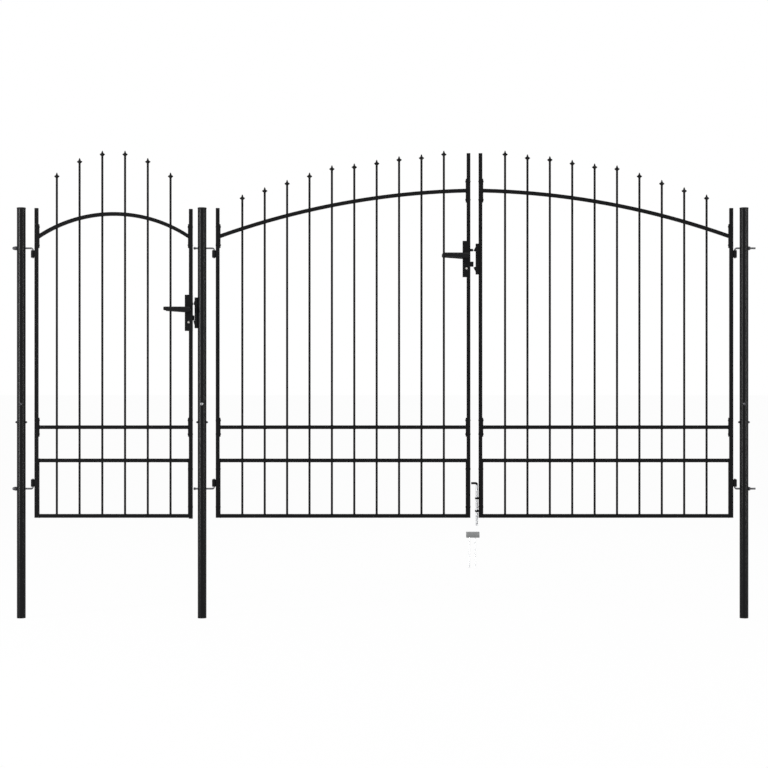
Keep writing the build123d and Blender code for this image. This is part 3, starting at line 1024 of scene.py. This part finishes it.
def button_head(name, radius, height, recess=0.5):
    """A low domed head with a recess in its top."""
    edge = 0.18
    profile = [(0, 0), (radius, 0), (radius, height * edge)]
    for _, s in quarter(6)[1:-1]:
        profile.append((radius * (1 - (1 - recess) * s), height * (edge + (1 - edge) * s)))
    profile += [(radius * recess, height), (radius * recess * 0.86, height * 0.35), (0, height * 0.3)]
    return as_object(name, lathe(name, profile, steps=24))


def ring_washer(name, radius, bore, thickness):
    """A flat washer with a softened rim."""
    soft = thickness * 0.2
    profile = [
        (bore, 0), (radius - soft, 0), (radius, soft), (radius, thickness - soft),
        (radius - soft, thickness), (bore, thickness),
    ]
    return as_object(name, lathe(name, profile, steps=32))


def domed_nut(name, width, hex_height, height):
    """A closed nut: a hexagon under a dome."""
    base = hexagon_nut(name + "_base", width, hex_height, bore=0.1 * mm)
    radius = width / 2 - 0.8 * mm
    start = height - radius
    profile = [(0, 0), (radius, 0), (radius, start)]
    profile += [(radius * c, start + radius * s) for c, s in quarter(8)[1:]]
    whole = joined(name, [base.data, lathe(name + "_dome", profile, steps=28)])
    bpy.data.objects.remove(base)
    return as_object(name, whole)


patterns = {
    "nut": hexagon_nut("nut_pattern", width=17 * mm, height=8 * mm, bore=4.6 * mm),
    "small_nut": hexagon_nut("small_nut_pattern", width=13 * mm, height=8 * mm, bore=4.6 * mm),
    "domed": domed_nut("domed_pattern", width=19 * mm, hex_height=11 * mm, height=23 * mm),
    "acorn": domed_nut("acorn_pattern", width=11 * mm, hex_height=5 * mm, height=9 * mm),
    "washer": ring_washer("washer_pattern", radius=11 * mm, bore=5.2 * mm, thickness=2 * mm),
    "button": button_head("button_pattern", radius=7 * mm, height=2.6 * mm),
    "end": button_head("end_pattern", radius=5 * mm, height=2.0 * mm, recess=0.3),
    "flat": button_head("flat_pattern", radius=6 * mm, height=1.4 * mm),
    "broad": button_head("broad_pattern", radius=8.5 * mm, height=5.5 * mm, recess=0.3),
}
print("patterns", sorted(patterns))

# %% Placing tree
tree, given, end = new_tree("fasteners", Pattern=None)
placed = aimed_on_points(tree, given["Geometry"], shape_of(tree, given["Pattern"]))
close_tree(tree, end, placed, given["Material"])
place_tree = tree


def fasten(name, kind, material, spots):
    """Copies of one pattern at (place, facing) pairs, as one piece."""
    seed = points_object(name, [spot[0] for spot in spots], facing=[spot[1] for spot in spots])
    return grow(name, seed, place_tree, {"Pattern": patterns[kind], "Material": material})


print("placing tree", len(tree.nodes), "nodes")

# %% Nuts of the hinge bolts
washer_height = 2 * mm
lock_nut_gap = 12 * mm
plain_nuts, domed_nuts, lock_nuts, washers = [], [], [], []
for post_x, side, arm_z in arms:
    outer, away = post_x - side * post_half, (-side, 0, 0)
    if post_x == post_middles[1]:
        lock_nuts.append(((outer - side * lock_nut_gap, 0, arm_z), away))
        continue
    seat = ((outer - side * washer_height, 0, arm_z), away)
    washers.append(((outer, 0, arm_z), away))
    (domed_nuts if post_x == post_middles[0] else plain_nuts).append(seat)
nuts = [
    fasten("hinge_nuts_plain", "nut", dark_steel, plain_nuts),
    fasten("hinge_nuts_domed", "domed", dark_steel, domed_nuts),
    fasten("hinge_washers", "washer", dark_steel, washers),
    fasten("hinge_lock_nuts", "small_nut", dark_steel, lock_nuts),
]
merged("hinge_nuts_turned", "hinge_nuts", nuts, dark_steel)
print("nuts", len(plain_nuts), "domed", len(domed_nuts), "washers", len(washers))

# %% [markdown]
# ## Screws of the frame
#
# The end plates of rails and arches are drawn to the stiles by screws: a round head on the plate and the
# end of the screw on the far side. The side bars have two each. Every post carries a small domed nut on
# two sides and a broad round head in front, which is dark on two posts and bright on the middle one.

# %% Frame screws
arch_spread, rail_spread = 50 * mm, 38 * mm
side_bar_screws = (608 * mm, 816 * mm)
stile_width = 20 * mm
frame_screws = 0
for leaf, body in leaves.items():
    heads, flats, ends = [], [], []
    height, slope, arch_low, arch_high = arch_line(leaf)
    rail_z = sum(corner.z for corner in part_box(leaf + "_upper_rail")) / 2
    for side, inner in ((-1, arch_low), (1, arch_high)):
        levels = [height(inner) - arch_spread, height(inner) + arch_spread]
        levels += [rail_z - rail_spread, rail_z + rail_spread]
        outer = inner + side * (plate + stile_width)
        heads += [((inner, 0, z), (-side, 0, 0)) for z in levels]
        flats += [((inner, 0, z), (-side, 0, 0)) for z in side_bar_screws]
        ends += [((outer, 0, z), (side, 0, 0)) for z in (*levels, *side_bar_screws)]
    add_to(fasten(leaf + "_frame_screws", "button", coat, heads), body)
    add_to(fasten(leaf + "_side_bar_screws", "flat", coat, flats), body)
    add_to(fasten(leaf + "_screw_ends", "end", coat, ends), body)
    frame_screws += len(ends)
print("frame screws", frame_screws)

# %% Post screws
post_side_screw, post_front_screw = 1072 * mm, 1172 * mm
sunk_rim = 1.8 * mm
sides = [
    ((x + side * post_half, 0, post_side_screw), (side, 0, 0)) for x in post_middles for side in (-1, 1)
]
left, middle, right = [
    ((x, sunk_rim - post_half, post_front_screw), (0, -1, 0)) for x in post_middles
]
add_to(fasten("post_side_screws", "acorn", dark_steel, sides), "posts")
add_to(fasten("post_front_screws", "broad", dark_steel, [left, right]), "posts")
add_to(fasten("middle_front_screw", "broad", zinc, [middle]), "posts")
print("post screws", len(sides) + 3)

# %% [markdown]
# ## Hinge sleeves
#
# A sleeve is a short piece of thick tube, welded to the side of the stile. It drops over the bolt's pin.
# Its ends are turned smooth, since they carry the leaf.

# %% Hinge sleeves
sleeve_bore = 5.3 * mm
sleeve_edge = 0.7 * mm
seam_half, seam_inset = 4 * mm, 2 * mm
for leaf in leaves:
    tubes, loops = [], []
    stile_low, stile_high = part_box(leaf + "_hinge_stile")
    for low, high in solid_boxes(leaf + "_hinge_sleeves"):
        radius, length = (high.x - low.x) / 2, high.z - low.z
        profile = [
            (sleeve_bore, sleeve_edge / 2), (sleeve_bore + sleeve_edge / 2, 0),
            (radius - sleeve_edge, 0), (radius, sleeve_edge),
            (radius, length - sleeve_edge), (radius - sleeve_edge, length),
            (sleeve_bore + sleeve_edge / 2, length), (sleeve_bore, length - sleeve_edge / 2),
        ]
        sleeve_x = (low.x + high.x) / 2
        tubes.append(lathe("sleeve", profile, steps=48, place=(sleeve_x, 0, low.z)))
        contact = stile_low.x if sleeve_x < stile_low.x else stile_high.x
        foot, head = low.z + seam_inset, high.z - seam_inset
        corners = ((-seam_half, foot), (seam_half, foot), (seam_half, head), (-seam_half, head))
        loops.append([(contact, y, z) for y, z in corners])
    sleeves = joined(leaf + "_sleeves", tubes)
    dress(as_object(leaf + "_sleeves_turned", sleeves), leaf + "_hinge_sleeves")
    weld(leaf + "_sleeve_beads", leaves[leaf], loops, radius=1.8 * mm, stride=1.6 * mm, seed=8.0)

# %% [markdown]
# ## Levers
#
# A lever is cast: a round neck that grows out of the lock, and an arm that gets lower towards its tip. All
# its edges are soft for the hand. The arm is a row of rings with the shape of a rounded slab. The rings
# get lower from the root to the tip, and those near either end shrink to round it off.

# %% Lever arm
root_radius, tip_radius = 15 * mm, 9.5 * mm
tip_half_height = 10.5 * mm
arm_half_thickness = 6 * mm
arm_softness = 3.2 * mm
slab_power = 0.62
outline_power = 3.0
ring_steps = 32


def flattened(value):
    """A sine or cosine pulled towards its ends, which turns a circle into a rounded slab."""
    return abs(value) ** slab_power * (1 if value > 0 else -1)


def lever_arm(name, root, tip, y):
    """A slab from the root circle to the tip circle, whose middle plane is at y."""
    start, end, reach = tip[0] - tip_radius, root[0] + root_radius, root[0] - tip[0]
    shares = [0.5 - 0.5 * cos(pi * i / 12) for i in range(13)]
    stations = [start + share * tip_radius for share in shares]
    stations += [tip[0] + share * reach for share in (0.15, 0.3, 0.45, 0.6, 0.75, 0.9)]
    stations += [root[0] + share * root_radius for share in shares]
    shape = bmesh.new()
    rings = []
    for x in stations[1:-1]:
        share = min(max((x - tip[0]) / reach, 0), 1)
        radius = tip_half_height + share * (root_radius - tip_half_height)
        past = max(tip[0] - x, x - root[0], 0)
        half_height = radius * max(1 - (past / radius) ** outline_power, 1e-6) ** (1 / outline_power)
        middle_z = tip[1] + share * (root[1] - tip[1])
        left_over = min(x - start, end - x, arm_softness)
        drop = arm_softness - sqrt(arm_softness**2 - (arm_softness - left_over) ** 2)
        thick = arm_half_thickness - drop
        corners = []
        for angle in turns(ring_steps):
            out, up = thick * flattened(cos(angle)), half_height * flattened(sin(angle))
            corners.append(shape.verts.new((x, y + out, middle_z + up)))
        rings.append(corners)
    bridge(shape, rings)
    shape.faces.new(rings[0])
    shape.faces.new(rings[-1])
    bmesh.ops.recalc_face_normals(shape, faces=shape.faces)
    return plain(as_mesh(shape, name))


# %% Levers of both locks
neck_radius = 9 * mm
flare = 3 * mm
flange_edge = 1.2 * mm
foot_curve, head_curve = 4 * mm, 5 * mm
head_depth = 2 * mm
case_half_depth = 14 * mm
tip_rise = 4.7 * mm
for lock in ("small", "double"):
    low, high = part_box(lock + "_lever")
    root = (high.x - root_radius, (low.z + high.z) / 2)
    tip = (low.x + tip_radius, root[1] + tip_rise)
    neck_length = high.y - case_half_depth - arm_half_thickness
    head_start = neck_length - head_depth - head_curve
    profile = [(0, 0), (neck_radius + flare, 0), (neck_radius + flare, flange_edge)]
    for c, s in quarter(6)[1:]:
        profile.append((neck_radius + flare * (1 - s), flange_edge + foot_curve * (1 - c)))
    for c, s in quarter(6):
        profile.append((neck_radius + flare * (1 - c), head_start + head_curve * s))
    profile.append((0, neck_length - head_depth))
    parts = []
    for side in (-1, 1):
        parts.append(lever_arm("lever_arm", root, tip, side * (high.y - arm_half_thickness)))
        place = (root[0], side * case_half_depth, root[1])
        parts.append(lathe("lever_neck", profile, steps=40, place=place, facing=(0, side, 0)))
    dress(as_object(lock + "_lever_cast", joined(lock + "_lever", parts)), lock + "_lever")
print("lever reach", round((high.x - low.x) / mm, 1), "mm")

# %% [markdown]
# ## Lock cylinders
#
# A lock cylinder is a plug in a collar. The collar is coated like the case and only the plug is bright,
# so from afar the cylinder reads as one small light spot. The key slot is really cut into the plug.


# %% Cutting one mesh from another
def box_mesh(name, low, high):
    """A box between two corners."""
    shape = bmesh.new()
    bmesh.ops.create_cube(shape, size=1)
    place = Matrix.Translation((Vector(low) + Vector(high)) / 2)
    size = Matrix.Diagonal((*(Vector(high) - Vector(low)), 1))
    bmesh.ops.transform(shape, matrix=place @ size, verts=shape.verts)
    return as_mesh(shape, name)


def cut(name, mesh, tools, radius=0.0):
    """A mesh less the tools, with rounded edges if a radius is given."""
    body = as_object(name, mesh)
    cutters = [as_object(name + "_tool", tool) for tool in tools]
    for cutter in cutters:
        hollow = body.modifiers.new("cut", "BOOLEAN")
        hollow.operation = "DIFFERENCE"
        hollow.solver = "EXACT"
        hollow.object = cutter
    if radius:
        round_edges(body, radius, 40)
    result_mesh = plain(evaluated(body, name + "_cut"))
    for spare in (body, *cutters):
        bpy.data.objects.remove(spare)
    return result_mesh


def both_ends(half):
    """A profile and its mirror image below the middle."""
    return half + [(radius, -height) for radius, height in reversed(half)]


# %% Lock cylinders
plug_radius, collar_radius = 5.4 * mm, 8 * mm
plug_edge = 0.5 * mm
plug_play = 0.3 * mm
collar_edge = 0.9 * mm
groove_floor, collar_face, collar_side = 1.4 * mm, 0.5 * mm, 1.5 * mm
slot_half_width, slot_depth, slot_below, slot_above = 0.8 * mm, 2.5 * mm, 3.6 * mm, 2.4 * mm
for lock in ("small", "double"):
    node = lock + "_lock_cylinder"
    low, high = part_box(node)
    x, z, end = (low.x + high.x) / 2, (low.z + high.z) / 2, high.y
    profile = both_ends([
        (0, end - groove_floor), (plug_radius + plug_play, end - groove_floor),
        (plug_radius + collar_edge, end - collar_face),
        (collar_radius - collar_edge, end - collar_face), (collar_radius, end - collar_side),
    ])
    collar = lathe("collar", profile, steps=40, place=(x, 0, z), facing=(0, 1, 0))
    dress(as_object(lock + "_cylinder_collar", collar, coat), node)
    profile = both_ends([(0, end), (plug_radius - plug_edge, end), (plug_radius, end - plug_edge)])
    plug = lathe("plug", profile, steps=32, place=(x, 0, z), facing=(0, 1, 0))
    key_slots = []
    for side in (-1, 1):
        near, far = sorted((side * (end - slot_depth), side * (end + 1 * mm)))
        slot_low = (x - slot_half_width, near, z - slot_below)
        slot_high = (x + slot_half_width, far, z + slot_above)
        key_slots.append(box_mesh("slot", slot_low, slot_high))
    plug = as_object(lock + "_cylinder_plug", cut("plug", plug, key_slots), nickel)
    add_to(plug, body_of_node[node])
print("plug faces", len(plug.data.polygons))

# %% [markdown]
# ## Drop bolt and ground socket
#
# The drop bolt is a round bar bent once: its short arm, in the black coat, is the grip, and its long arm
# is left bright because it slides in two guides. Its lower end goes into a cup in the ground. The cup is
# folded sheet on two rods that stand in the concrete.

# %% Drop bolt
rod_low, rod_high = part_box("drop_bolt")
rod_radius = 6 * mm
rod_tip = 2 * mm
rod_bend = 8 * mm
coat_thickness = 0.1 * mm
rod_x = rod_high.x - rod_radius - coat_thickness
arm_z = rod_high.z - rod_radius - coat_thickness
split_z = arm_z - rod_bend - 1 * mm
arm_line = [(rod_low.x, 0, arm_z), (rod_x, 0, arm_z), (rod_x, 0, split_z)]
rod_line = [(rod_x, 0, split_z + 0.5 * mm), (rod_x, 0, rod_low.z + rod_tip)]
arm = grow("drop_bolt_arm", line_object("drop_arm", [arm_line]), rod_tree, {
    "Radius": rod_radius + coat_thickness, "Bend": rod_bend, "Material": coat,
})
add_to(arm, body_of_node["drop_bolt"])
rod = grow("drop_rod", line_object("drop_axis", [rod_line]), rod_tree, {
    "Radius": rod_radius, "Bend": rod_bend, "Material": zinc,
})
tip_profile = [(0, 0), (rod_radius - rod_tip, 0), (rod_radius - 0.3 * rod_tip, 0.45 * rod_tip),
               (rod_radius, rod_tip), (0, rod_tip)]
tip_mesh = lathe("drop_tip", tip_profile, steps=rod_sides, place=(rod_x, 0, rod_low.z))
whole = merged("drop_bolt_rod", "drop_bolt", [rod], zinc, tip_mesh)
print("drop rod", len(whole.data.polygons), "faces")

# %% Ground socket
socket_low, socket_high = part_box("ground_socket")
cup_height, sheet = 30 * mm, 3 * mm
anchor_radius, anchor_edge = 3.5 * mm, 1 * mm
anchor_offsets = (-19 * mm, 13 * mm)
cup_low = Vector((socket_low.x, socket_low.y, socket_high.z - cup_height))
room = box_mesh(
    "room", cup_low + Vector((sheet, sheet, sheet)), socket_high + Vector((-sheet, -sheet, sheet))
)
cup = cut("cup", box_mesh("cup", cup_low, socket_high), [room], radius=1 * mm)
dress(as_object("ground_socket_folded", cup), "ground_socket")
length = cup_low.z - socket_low.z + anchor_edge
profile = [(0, 0), (anchor_radius - anchor_edge, 0), (anchor_radius, anchor_edge),
           (anchor_radius, length), (0, length)]
anchors = []
for offset in anchor_offsets:
    place = ((socket_low.x + socket_high.x) / 2 + offset, 0, socket_low.z)
    anchors.append(lathe("anchor", profile, steps=24, place=place))
rods = as_object("socket_anchors", joined("anchors", anchors), bright_steel)
add_to(rods, body_of_node["ground_socket"])
print("anchors", len(anchors))

# %% Clearing away the patterns
for pattern_object in [spear, *patterns.values()]:
    bpy.data.objects.remove(pattern_object)
